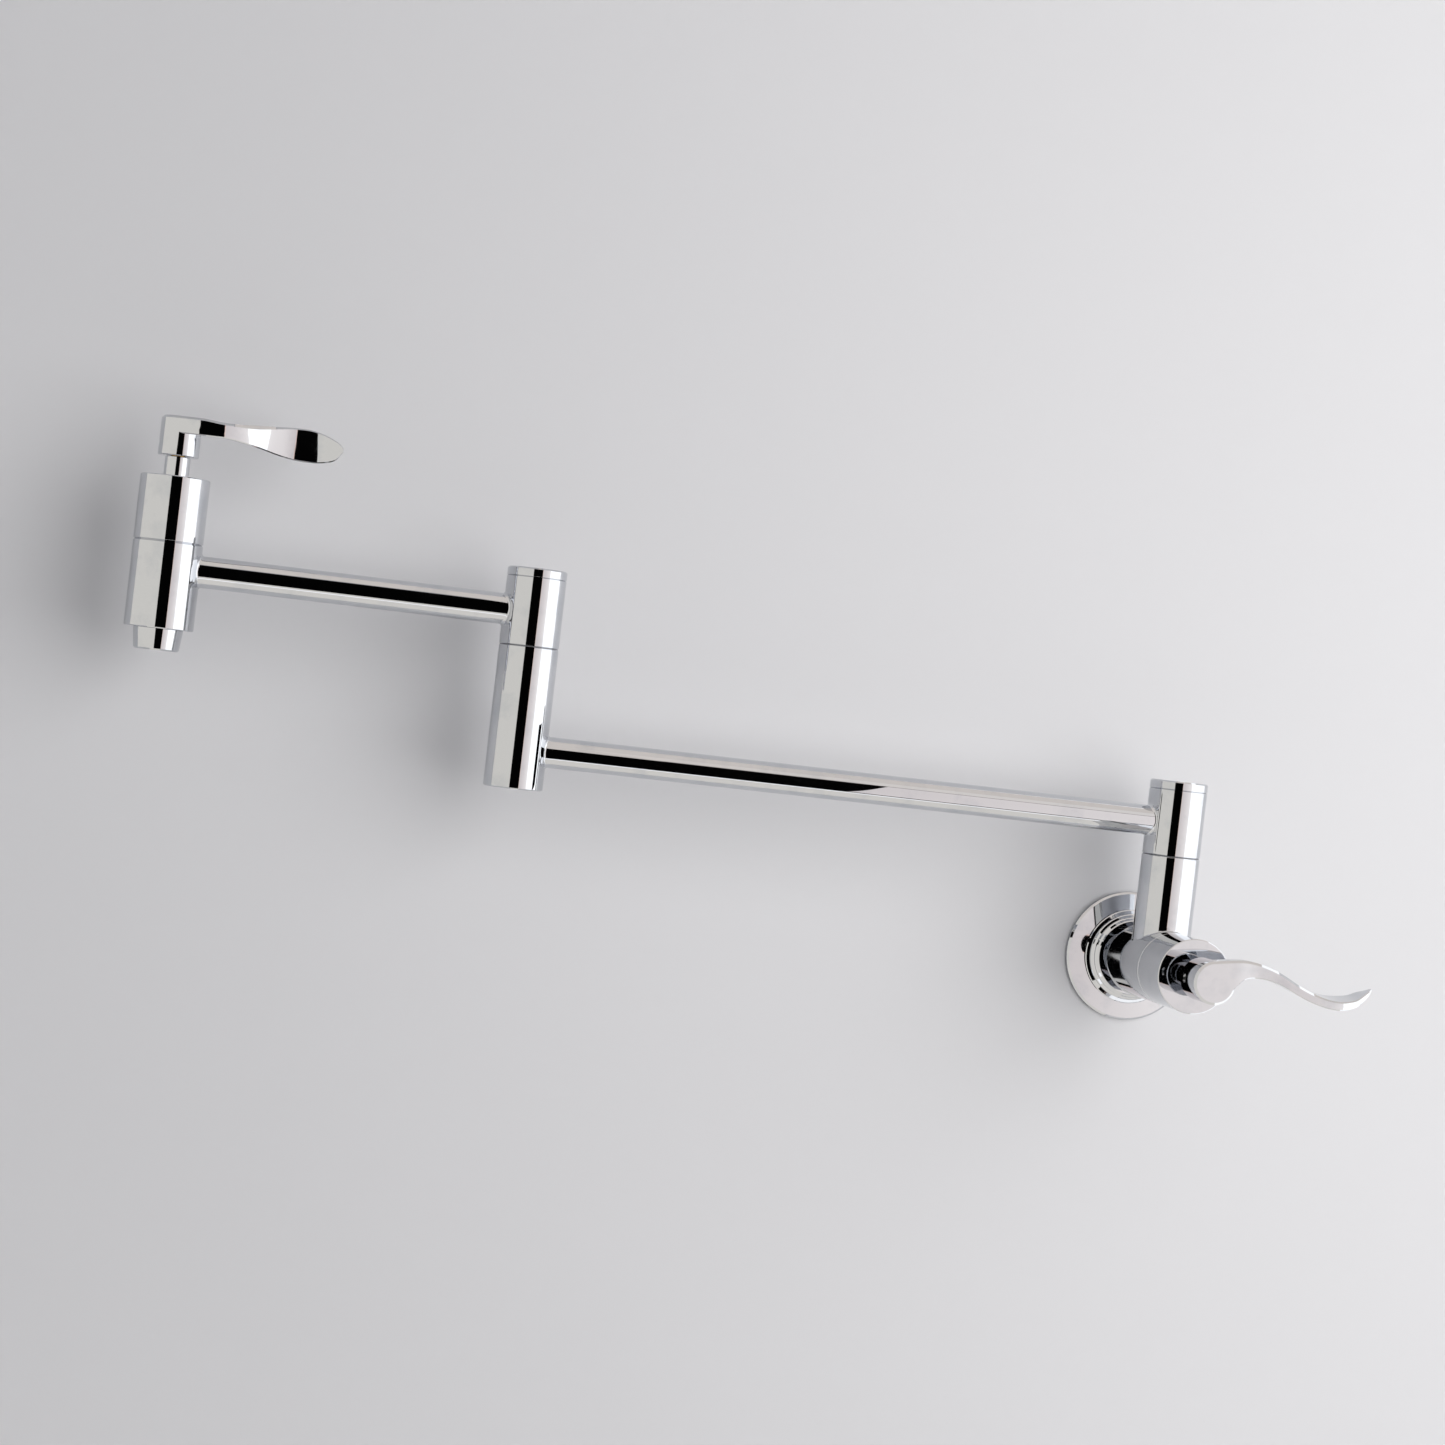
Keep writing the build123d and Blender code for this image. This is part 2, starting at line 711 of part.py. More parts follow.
# Along the lever from its root inside the hub to its tip: distance from the hub's axis,
# underside, upper side, how far the outer edge stands beyond the hub's front, how far the
# inner edge lies behind the outer one, and the bevel between upper side and outer edge.
lever_stations = [
    (1.6, -6.4, 12.82, 0.0, lever_root_width, 1.4),
    (5.1, -6.0, 13.33, 0.0, lever_root_width, 1.4),
    (8.6, -5.0, 13.82, 0.0, lever_root_width, 1.4),
    (12.0, -2.2, 14.24, 0.0, lever_root_width, 1.4),
    (15.2, 1.6, 14.49, -0.15, 10.15, 1.4),
    (18.3, 3.9, 14.52, -0.45, 9.85, 1.4),
    (22.0, 4.85, 14.17, -0.8, 9.4, 1.4),
    (26.0, 5.05, 13.55, -0.95, 9.2, 1.4),
    (31.0, 4.75, 12.3, -0.8, 9.7, 1.6),
    (36.0, 3.7, 10.7, -0.5, 10.7, 1.9),
    (41.0, 2.1, 8.6, 0.0, 12.0, 2.2),
    (46.0, -0.15, 6.0, 0.6, 13.4, 2.3),
    (51.5, -2.7, 3.15, 1.15, 15.1, 2.0),
    (58.0, -5.2, 0.5, 1.8, 17.2, 1.5),
    (64.5, -7.0, -1.75, 2.4, 18.9, 1.0),
    (71.0, -8.05, -3.0, 2.7, lever_spoon_width, 0.8),
    (77.0, -8.1, -3.05, 2.6, lever_spoon_width, 0.8),
    (82.3, -7.0, -2.3, 1.6, 18.7, 0.7),
    (86.8, -5.3, -0.9, 0.1, 16.5, 0.7),
    (90.6, -2.9, 1.4, -1.6, 13.9, 0.6),
    (93.8, -0.1, 3.4, -3.4, 10.3, 0.5),
    (96.0, 2.3, 4.7, -5.3, 5.4, 0.4),
    (lever_reach, 3.6, 5.2, -6.6, 2.6, 0.3),
]
facet_limit = 1.4  # most of the upper side that the bevel may take
corner_limit = 0.22  # most of a section's side that one of its corners may take


def lever_section(plane, low, high, outer, inner, facet, twist):
    """One bevelled rectangle across the lever, its inner end lifted by the twist."""
    corner = min(lever_edge, corner_limit * (high - low), corner_limit * (outer - inner))
    top_facet = min(facet, facet_limit)
    with BuildSketch(plane) as section:
        with BuildLine():
            Polyline(
                (low, outer - corner),
                (low + corner, outer),
                (high - top_facet, outer),
                (high, outer - facet),
                (high + twist, inner + corner),
                (high + twist - corner, inner),
                (low + twist + corner, inner),
                (low + twist, inner + corner),
                close=True,
            )
        make_face()
    return section.sketch.face()


def lever_strap(plane, wave, radius, length, scale):
    """The waved strap, lofted smoothly through its sections; the first leaves the hub's top."""
    start = math.atan(lever_rise)
    root_u = -radius * math.sin(start)
    root_high = radius * math.cos(start) - lever_inset
    root = (root_u / scale, lever_stations[0][1], root_high / scale, *lever_stations[0][3:])
    sections = []
    for u, low, high, rise, depth, facet in [root] + lever_stations:
        outer = length - lever_inset + scale * rise
        inner = outer - scale * depth
        spread = (depth - lever_root_width) / (lever_spoon_width - lever_root_width)
        twist = scale * lever_twist * min(max(spread, 0.0), 1.0)
        station = Plane(
            origin=plane.origin + plane.x_dir * scale * u,
            x_dir=wave,
            z_dir=Vector(wave).cross(plane.y_dir),
        )
        sections.append(
            lever_section(station, scale * low, scale * high, outer, inner, scale * facet, twist)
        )
    return loft(sections)


def make_lever(prefix, plane, wave, radius, length, scale):
    """Wave lever on its hub. But for their size the two valves' levers are mirror images."""
    screw_side = Plane(
        origin=plane.from_local_coords((0, set_screw_height, 0)),
        x_dir=plane.y_dir,
        z_dir=-plane.x_dir,
    )
    hub = [
        (0, 0),
        (radius - rim_edge, 0),
        (radius, rim_edge),
        (radius, length - hub_edge),
        (radius - hub_edge, length),
        (0, length),
    ]
    bore = cylinder_points(spline_r + thread_gap, 0, spline_length + rim_edge)
    with BuildPart() as lever:
        lever_strap(plane, wave, radius, length, scale)
        turn(plane, hub)
        turn(plane, bore, Mode.SUBTRACT)
        with BuildSketch(screw_side) as hole:
            Circle(set_screw_r + thread_gap)
        extrude(hole.sketch, amount=2 * radius, mode=Mode.SUBTRACT)
    save(lever, f"{prefix}_lever")
    screw_start = spline_r + screw_gap
    screw_end = radius - set_screw_sink
    with BuildPart() as screw:
        with BuildSketch(screw_side.offset(screw_start)) as shank:
            Circle(set_screw_r)
        extrude(shank.sketch, amount=screw_end - screw_start)
        with BuildSketch(screw_side.offset(screw_end)) as socket:
            RegularPolygon(set_screw_socket_r, 6, major_radius=False)
        extrude(socket.sketch, amount=-set_screw_socket_depth, mode=Mode.SUBTRACT)
    save(screw, f"{prefix}_set_screw")


# ---- outlet -------------------------------------------------------------------------------


def make_outlet_body():
    """Outlet body: the short tube enters on its right and the aerator screws in below."""
    socket_top = outlet_bottom + aerator_thread_length + end_gap
    inside = [
        (0, outlet_bottom),
        (aerator_thread_r + thread_gap, outlet_bottom),
        (aerator_thread_r + thread_gap, socket_top),
        (outlet_bore_r, socket_top),
        (outlet_bore_r, outlet_seat),
        (chamber_r, outlet_seat),
        (chamber_r, outlet_seam + nose_length),
        (0, outlet_seam + nose_length),
    ]
    with BuildPart() as outlet_body:
        turn(outlet_axis, body_outline(outlet_r, outlet_bottom, outlet_seam, outlet_seam_edge))
        add_stub(outlet_x, short_height, 1, outlet_r)
        turn(outlet_axis, inside, Mode.SUBTRACT)
        cut_socket(outlet_x, short_height, 1, outlet_r)
    save(outlet_body, "outlet_body")


def make_aerator():
    """Aerator: threaded shell, honeycomb insert, screen and washer."""
    bottom = outlet_bottom - aerator_length
    thread_top = outlet_bottom + aerator_thread_length
    seat = thread_top - aerator_seat
    bore = aerator_thread_r - aerator_wall
    insert_foot = bottom + aerator_lip_t
    insert_top = thread_top - insert_drop
    shell = [
        (aerator_lip_r, bottom + aerator_lip_edge),
        (aerator_lip_r + aerator_lip_edge, bottom),
        (aerator_tip_r - aerator_tip_edge, bottom),
        (aerator_tip_r, bottom + aerator_tip_edge),
        (aerator_r, outlet_bottom - aerator_top_edge),
        (aerator_r - aerator_top_edge, outlet_bottom),
        (aerator_thread_r, outlet_bottom),
        (aerator_thread_r, seat),
        (bore, seat),
        (bore, insert_foot),
        (aerator_lip_r, insert_foot),
    ]
    with BuildPart() as housing:
        turn(outlet_axis, shell)
    save(housing, "aerator_housing")
    with BuildPart() as insert:
        with BuildSketch(across(outlet_axis, insert_foot)) as grid:
            Circle(bore - ring_gap)
            with HexLocations(cell_pitch_r, cell_rows, cell_rows):
                RegularPolygon(cell_pitch_r - cell_wall, 6, mode=Mode.SUBTRACT)
        extrude(grid.sketch, amount=insert_top - insert_foot)
    save(insert, "aerator_insert")
    with BuildPart() as screen:
        with BuildSketch(across(outlet_axis, insert_top)) as mesh:
            Circle(bore - ring_gap)
            with GridLocations(screen_pitch, screen_pitch, screen_rows, screen_rows):
                Rectangle(screen_hole, screen_hole, mode=Mode.SUBTRACT)
        extrude(mesh.sketch, amount=screen_t)
    save(screen, "aerator_screen")
    with BuildPart() as washer:
        with BuildSketch(across(outlet_axis, seat)) as face:
            Circle(aerator_thread_r - disc_gap)
            Circle(outlet_bore_r + aerator_washer_bore, mode=Mode.SUBTRACT)
        extrude(face.sketch, amount=aerator_washer_t)
    save(washer, "aerator_washer")


def main():
    """Makes every piece."""
    os.makedirs("parts", exist_ok=True)
    make_escutcheon()
    make_inlet_adapter()
    make_valve_body()
    make_cartridge("valve", wall_axis, valve_seat)
    make_bonnet("valve", wall_axis, body_seam, body_r, seam_edge)
    valve_hub = Plane(
        origin=wall_axis.from_local_coords((0, body_seam + hub_back, 0)),
        x_dir=wall_axis.x_dir,
        z_dir=wall_axis.z_dir,
    )
    make_lever("valve", valve_hub, (0, 0, 1), valve_hub_r, valve_hub_length, valve_lever_scale)
    make_swivel("riser", riser_axis, riser_top)
    make_upper_sleeve("long_arm_sleeve", riser_axis, riser_top, 0)
    make_cap("riser_cap", riser_axis, riser_top)
    make_tube("long_tube", 0, mid_x, sleeve_r, sleeve_r, arm_height)
    make_mid_sleeve()
    make_swivel("mid", mid_axis, mid_seam)
    make_upper_sleeve("short_arm_sleeve", mid_axis, mid_seam, mid_x)
    make_cap("mid_cap", mid_axis, mid_seam)
    make_tube("short_tube", mid_x, outlet_x, sleeve_r, outlet_r, short_height)
    make_outlet_body()
    make_cartridge("outlet", outlet_axis, outlet_seat)
    make_bonnet("outlet", outlet_axis, outlet_seam, outlet_r, outlet_seam_edge)
    outlet_hub = Plane(
        origin=outlet_axis.from_local_coords((0, outlet_seam + hub_back, 0)),
        x_dir=outlet_axis.x_dir,
        z_dir=outlet_axis.z_dir,
    )
    make_lever(
        "outlet", outlet_hub, (0, -1, 0), outlet_hub_r, outlet_hub_length, outlet_lever_scale
    )
    make_aerator()


main()
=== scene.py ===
import math

import bpy
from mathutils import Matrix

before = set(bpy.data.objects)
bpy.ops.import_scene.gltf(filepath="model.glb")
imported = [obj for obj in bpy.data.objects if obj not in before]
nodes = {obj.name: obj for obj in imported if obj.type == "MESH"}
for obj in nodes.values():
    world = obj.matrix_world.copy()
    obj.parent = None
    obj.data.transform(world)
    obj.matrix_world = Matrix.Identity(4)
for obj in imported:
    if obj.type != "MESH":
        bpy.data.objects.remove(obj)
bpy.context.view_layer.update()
print("frame loaded:", len(nodes), "pieces")


def linearColor(hexCode):
    # sRGB hex to linear RGBA
    parts = [int(hexCode[i:i + 2], 16) / 255 for i in (1, 3, 5)]
    return [c / 12.92 if c <= 0.04045 else ((c + 0.055) / 1.055) ** 2.4 for c in parts] + [1.0]


def addNode(tree, kind, settings=None, values=None, links=None):
    # one node: its own settings, its sockets' values, and what feeds its sockets
    node = tree.nodes.new(kind)
    for name, value in (settings or {}).items():
        setattr(node, name, value)
    for socket, value in (values or {}).items():
        node.inputs[socket].default_value = value
    for socket, source in (links or {}).items():
        tree.links.new(source, node.inputs[socket])
    return node


def newTree(name):
    material = bpy.data.materials.new(name)
    material.use_nodes = True
    material.node_tree.nodes.clear()
    return material, material.node_tree


def perMetre(millimetres):
    # a texture's scale for a detail of this size; the pieces are in metres
    return 1000 / millimetres


# the camera stands where the photo was taken, rolled a little to the right
cameraView = {
    "place": (-0.61718, -1.82043, 0.12071),  # metres, the wall is y = 0
    "turn": (89.8158, -6.6333, -10.7540),  # degrees
    "lens": 76.486,
    "sensor": 36.0,
    "clip": (0.05, 60.0),
}

cameraData = bpy.data.cameras.new("photoCamera")
cameraData.lens = cameraView["lens"]
cameraData.sensor_width = cameraView["sensor"]
cameraData.clip_start, cameraData.clip_end = cameraView["clip"]
camera = bpy.data.objects.new("photoCamera", cameraData)
camera.location = cameraView["place"]
camera.rotation_euler = [math.radians(a) for a in cameraView["turn"]]
bpy.context.scene.collection.objects.link(camera)
bpy.context.scene.camera = camera
print("camera ready")

# Bright chrome plate on mopped brass, a cool near-mirror. The mop leaves a slow ripple under the
# plate, and hands leave faint smudges that only show as a softer edge in the reflections.
chromePlate = {
    "color": "#CACCD0",
    "smudgedColor": "#C2C5CA",
    "roughness": (0.018, 0.055),  # clean plate, smudged plate
    "smudge": 16.0,  # mm across
    "smudgeEdge": (0.48, 0.68),  # noise levels where a smudge starts and where it is full
    "ripple": 7.0,  # mm between the mop's ripples
    "rippleDepth": 0.0012,  # mm
    "hairline": 0.9,  # mm; real polishing lines are a tenth of this and would not show
    "hairlineRoughness": 0.012,
}


def makeChromePlate():
    material, tree = newTree("chromePlateOnMoppedBrass")
    place = addNode(tree, "ShaderNodeTexCoord")
    smudge = addNode(tree, "ShaderNodeTexNoise", values={
        "Scale": perMetre(chromePlate["smudge"]),
        "Detail": 4.0,
        "Roughness": 0.55,
    }, links={"Vector": place.outputs["Object"]})
    smudgeStart, smudgeFull = chromePlate["smudgeEdge"]
    smudgeMask = addNode(tree, "ShaderNodeMapRange", values={
        "From Min": smudgeStart,
        "From Max": smudgeFull,
    }, links={"Value": smudge.outputs["Fac"]})
    color = addNode(tree, "ShaderNodeMix", {"data_type": "RGBA"}, {
        6: linearColor(chromePlate["color"]),
        7: linearColor(chromePlate["smudgedColor"]),
    }, {0: smudgeMask.outputs["Result"]})
    hairline = addNode(tree, "ShaderNodeTexNoise", values={
        "Scale": perMetre(chromePlate["hairline"]),
        "Detail": 2.0,
    }, links={"Vector": place.outputs["Object"]})
    clean, smudged = chromePlate["roughness"]
    plateRoughness = addNode(tree, "ShaderNodeMapRange", values={
        "To Min": clean,
        "To Max": smudged,
    }, links={"Value": smudgeMask.outputs["Result"]})
    roughness = addNode(tree, "ShaderNodeMath", {"operation": "MULTIPLY_ADD"}, {
        1: chromePlate["hairlineRoughness"],
    }, {0: hairline.outputs["Fac"], 2: plateRoughness.outputs["Result"]})
    ripple = addNode(tree, "ShaderNodeTexNoise", values={
        "Scale": perMetre(chromePlate["ripple"]),
        "Detail": 1.0,
    }, links={"Vector": place.outputs["Object"]})
    bump = addNode(tree, "ShaderNodeBump", values={
        "Strength": 1.0,
        "Distance": chromePlate["rippleDepth"] / 1000,
    }, links={"Height": ripple.outputs["Fac"]})
    shader = addNode(tree, "ShaderNodeBsdfPrincipled", values={"Metallic": 1.0}, links={
        "Base Color": color.outputs[2],
        "Roughness": roughness.outputs["Value"],
        "Normal": bump.outputs["Normal"],
    })
    addNode(tree, "ShaderNodeOutputMaterial", links={"Surface": shader.outputs["BSDF"]})
    return material


# Turned metal: a lathe's feed leaves fine rings square to the piece's axis, so a highlight is
# drawn out along the axis. Brass also has warmer and browner patches where it has been handled.
turnedBrass = {
    "name": "turnedBrass",
    "color": "#C9A45C",
    "stainColor": "#A67E3E",
    "roughness": (0.16, 0.32),
    "ring": 5.027,  # mm from ring to ring; a finishing feed, about 0.1 mm, is too fine to show
    "ringDepth": 0.006,  # mm
    "stain": 9.0,  # mm across
}
turnedStainless = {
    "name": "turnedStainlessSteel",
    "color": "#B4B5B4",
    "stainColor": "#A3A5A6",
    "roughness": (0.2, 0.34),
    "ring": 3.77,  # mm from ring to ring, coarser than real as above
    "ringDepth": 0.004,  # mm
    "stain": 6.0,  # mm across
}
waveLength = 2 * math.pi / 20  # metres between the bands of a wave texture of scale 1


def makeTurnedMetal(metal, axis):
    material, tree = newTree(metal["name"] + axis)
    place = addNode(tree, "ShaderNodeTexCoord")
    rings = addNode(tree, "ShaderNodeTexWave", {"wave_type": "BANDS", "bands_direction": axis}, {
        "Scale": perMetre(metal["ring"]) * waveLength,
        "Distortion": 0.6,
        "Detail": 3.0,
        "Detail Scale": 2.0,
    }, {"Vector": place.outputs["Object"]})
    stain = addNode(tree, "ShaderNodeTexNoise", values={
        "Scale": perMetre(metal["stain"]),
        "Detail": 5.0,
    }, links={"Vector": place.outputs["Object"]})
    color = addNode(tree, "ShaderNodeMix", {"data_type": "RGBA"}, {
        6: linearColor(metal["color"]),
        7: linearColor(metal["stainColor"]),
    }, {0: stain.outputs["Fac"]})
    smooth, coarse = metal["roughness"]
    roughness = addNode(tree, "ShaderNodeMapRange", values={
        "To Min": smooth,
        "To Max": coarse,
    }, links={"Value": rings.outputs["Fac"]})
    bump = addNode(tree, "ShaderNodeBump", values={
        "Strength": 1.0,
        "Distance": metal["ringDepth"] / 1000,
    }, links={"Height": rings.outputs["Fac"]})
    shader = addNode(tree, "ShaderNodeBsdfPrincipled", values={"Metallic": 1.0}, links={
        "Base Color": color.outputs[2],
        "Roughness": roughness.outputs["Result"],
        "Normal": bump.outputs["Normal"],
    })
    addNode(tree, "ShaderNodeOutputMaterial", links={"Surface": shader.outputs["BSDF"]})
    return material


# Moulded and lapped pieces: a fine skin from the mould or the lap, and a slight cloudiness.
# Nitrile is a matt black with grey bloom; nylon a waxy dark grey; acetal a waxy white;
# alumina a dense white ceramic lapped almost to a mirror, with tiny grey grains.
mouldedNitrile = {
    "name": "mouldedNitrileRubber",
    "color": "#1D1D1F",
    "cloudColor": "#343437",
    "roughness": (0.5, 0.72),
    "cloud": 5.0,  # mm across
    "grain": 0.35,  # mm
    "grainDepth": 0.008,  # mm
    "ior": 1.52,
}
mouldedNylon = {
    "name": "mouldedNylon",
    "color": "#56575A",
    "cloudColor": "#63646A",
    "roughness": (0.34, 0.5),
    "cloud": 7.0,
    "grain": 0.5,
    "grainDepth": 0.005,
    "ior": 1.53,
}
mouldedAcetal = {
    "name": "mouldedAcetal",
    "color": "#E2E1DC",
    "cloudColor": "#D6D5CF",
    "roughness": (0.3, 0.45),
    "cloud": 6.0,
    "grain": 0.5,
    "grainDepth": 0.004,
    "ior": 1.48,
}
lappedAlumina = {
    "name": "lappedAluminaCeramic",
    "color": "#ECEAE3",
    "cloudColor": "#DAD8D2",
    "roughness": (0.1, 0.2),
    "cloud": 1.2,
    "grain": 0.3,
    "grainDepth": 0.001,
    "ior": 1.76,
}
cloudSpread = (0.3, 0.7)  # the least and the most that the cloud noise usually gives


def makeMouldedSkin(skin):
    material, tree = newTree(skin["name"])
    place = addNode(tree, "ShaderNodeTexCoord")
    cloud = addNode(tree, "ShaderNodeTexNoise", values={
        "Scale": perMetre(skin["cloud"]),
        "Detail": 5.0,
        "Roughness": 0.6,
    }, links={"Vector": place.outputs["Object"]})
    grain = addNode(tree, "ShaderNodeTexNoise", values={
        "Scale": perMetre(skin["grain"]),
        "Detail": 2.0,
    }, links={"Vector": place.outputs["Object"]})
    color = addNode(tree, "ShaderNodeMix", {"data_type": "RGBA"}, {
        6: linearColor(skin["color"]),
        7: linearColor(skin["cloudColor"]),
    }, {0: cloud.outputs["Fac"]})
    smooth, coarse = skin["roughness"]
    roughness = addNode(tree, "ShaderNodeMapRange", values={
        "From Min": cloudSpread[0],
        "From Max": cloudSpread[1],
        "To Min": smooth,
        "To Max": coarse,
    }, links={"Value": cloud.outputs["Fac"]})
    bump = addNode(tree, "ShaderNodeBump", values={
        "Strength": 1.0,
        "Distance": skin["grainDepth"] / 1000,
    }, links={"Height": grain.outputs["Fac"]})
    shader = addNode(tree, "ShaderNodeBsdfPrincipled", values={"IOR": skin["ior"]}, links={
        "Base Color": color.outputs[2],
        "Roughness": roughness.outputs["Result"],
        "Normal": bump.outputs["Normal"],
    })
    addNode(tree, "ShaderNodeOutputMaterial", links={"Surface": shader.outputs["BSDF"]})
    return material


# each record slot's finish; turned pieces need one whose rings follow the piece's own axis
finishes = {
    "polished_chrome": makeChromePlate(),
    "nitrile_rubber": makeMouldedSkin(mouldedNitrile),
    "nylon": makeMouldedSkin(mouldedNylon),
    "acetal": makeMouldedSkin(mouldedAcetal),
    "alumina_ceramic": makeMouldedSkin(lappedAlumina),
}
turnedFinishes = {
    "raw_brass": {"Y": makeTurnedMetal(turnedBrass, "Y"), "Z": makeTurnedMetal(turnedBrass, "Z")},
    "stainless_steel": {
        "Y": makeTurnedMetal(turnedStainless, "Y"),
        "Z": makeTurnedMetal(turnedStainless, "Z"),
    },
}
levelPieces = ("valve_", "inlet_", "escutcheon")  # turned about the wall's axis; the rest stand
painted = 0
for nodeName, piece in nodes.items():
    axis = "Y" if nodeName.startswith(levelPieces) else "Z"
    for slot in piece.material_slots:
        slotName = slot.material.name.split(".")[0]
        slot.material = finishes.get(slotName) or turnedFinishes[slotName][axis]
        painted += 1
print("finishes on", painted, "slots")

# A plain wall in satin paint, seen only from the room, and a plain floor in matt paint. Both are
# pale and even, so that the chrome stands out by its own bands. All sizes are in metres.
wallFinish = {
    "color": "#DEDEE1",
    "roughness": 0.45,
    "specularLevel": 0.35,  # under the usual 0.5, so that the soft boxes don't bleach it
    "size": (9.0, 6.0),
    "hole": 0.026,  # half its side; its corners stay inside the flange's rim
    "behind": 0.0008,  # clear of the flange's back
}
floorFinish = {
    "color": "#DEDEDE",
    "roughness": 0.6,
    "size": 12.0,
    "height": -1.3,
}


def addSheet(name, corners, material):
    mesh = bpy.data.meshes.new(name)
    mesh.from_pydata(corners, [], [(0, 1, 2, 3)])
    mesh.materials.append(material)
    sheet = bpy.data.objects.new(name, mesh)
    bpy.context.scene.collection.objects.link(sheet)
    return sheet


def clearBehind(tree, frontShader):
    # this shader where a sheet is seen from its front, nothing where it is seen from behind
    clear = addNode(tree, "ShaderNodeBsdfTransparent")
    side = addNode(tree, "ShaderNodeNewGeometry")
    mix = addNode(tree, "ShaderNodeMixShader", links={
        0: side.outputs["Backfacing"],
        1: frontShader,
        2: clear.outputs["BSDF"],
    })
    return mix.outputs["Shader"]


def makeWallPaint():
    material, tree = newTree("satinWallPaint")
    paint = addNode(tree, "ShaderNodeBsdfPrincipled", values={
        "Base Color": linearColor(wallFinish["color"]),
        "Roughness": wallFinish["roughness"],
        "Specular IOR Level": wallFinish["specularLevel"],
    })
    surface = clearBehind(tree, paint.outputs["BSDF"])
    addNode(tree, "ShaderNodeOutputMaterial", links={"Surface": surface})
    return material


def makeFloorPaint():
    material, tree = newTree("mattFloorPaint")
    paint = addNode(tree, "ShaderNodeBsdfPrincipled", values={
        "Base Color": linearColor(floorFinish["color"]),
        "Roughness": floorFinish["roughness"],
    })
    addNode(tree, "ShaderNodeOutputMaterial", links={"Surface": paint.outputs["BSDF"]})
    return material


wallPaint = makeWallPaint()
reachX, reachZ = wallFinish["size"][0] / 2, wallFinish["size"][1] / 2
wallY = wallFinish["behind"]
hole = wallFinish["hole"]
# four sheets round the supply pipe's hole, which the flange covers
wallParts = {
    "wallLeft": (-reachX, -hole, -reachZ, reachZ),
    "wallRight": (hole, reachX, -reachZ, reachZ),
    "wallUnder": (-hole, hole, -reachZ, -hole),
    "wallOver": (-hole, hole, hole, reachZ),
}
for name, (x0, x1, z0, z1) in wallParts.items():
    addSheet(name, [
        (x0, wallY, z0),
        (x1, wallY, z0),
        (x1, wallY, z1),
        (x0, wallY, z1),
    ], wallPaint)
halfFloor = floorFinish["size"] / 2
floorZ = floorFinish["height"]
addSheet("floor", [
    (-halfFloor, -halfFloor, floorZ),
    (halfFloor, -halfFloor, floorZ),
    (halfFloor, halfFloor, floorZ),
    (-halfFloor, halfFloor, floorZ),
], makeFloorPaint())

# The studio's soft boxes and the dark gap between them, which give the chrome its bands. They
# form a box in front of the wall, show in reflections only, and light nothing. All sizes are in
# metres, from the part's own origin at the middle of the flange.
studio = {
    "left": -2.6,
    "right": 2.2,
    "front": -1.41,
    "back": -0.01,  # just in front of the wall
    "low": -1.25,
    "high": 1.9,
    "brightStart": 0.92,  # the right soft box is brighter past here
    "leftWallEnd": -0.82,  # the cards along the wall stop short of the part
    "rightWallStart": 0.25,
    "counterEdge": -1.18,  # the counter is brighter nearer the camera than this
}
gap = {
    "left": -0.91,
    "middle": -0.2,  # left of here the gap is taller, right of here it reaches lower
    "right": -0.05,
    "leftFoot": -0.8,
    "leftTop": 1.7,
    "rightFoot": -1.17,
    "rightTop": 0.83,
    "warmEdge": 0.035,  # how wide the warm strip beside it is
    "trimFoot": 0.17,  # how tall the dim strips along the right soft box are
    "trimTop": 0.09,
}
warmWhite, creamWhite, ceilingWhite, pureWhite = "#F8F4EC", "#FDF8F0", "#F6EDE5", "#FFFFFF"
blackFelt = "#040404"
wide = (studio["left"], studio["right"])
front = (studio["front"], studio["front"])
deep = (studio["front"], studio["back"])
beside = (studio["back"], studio["back"])
tall = (studio["low"], studio["high"])
onCounter = (studio["low"], studio["low"])
gapLeft = (gap["left"], gap["middle"])
gapRight = (gap["middle"], gap["right"])
warmEnd = gap["right"] + gap["warmEdge"]
rightBox = (gap["right"], studio["brightStart"])
trimFoot = (gap["rightFoot"], gap["rightFoot"] + gap["trimFoot"])
trimTop = (gap["rightTop"], gap["rightTop"] + gap["trimTop"])
lit = (trimFoot[1], trimTop[0])  # the right soft box, between its dim strips
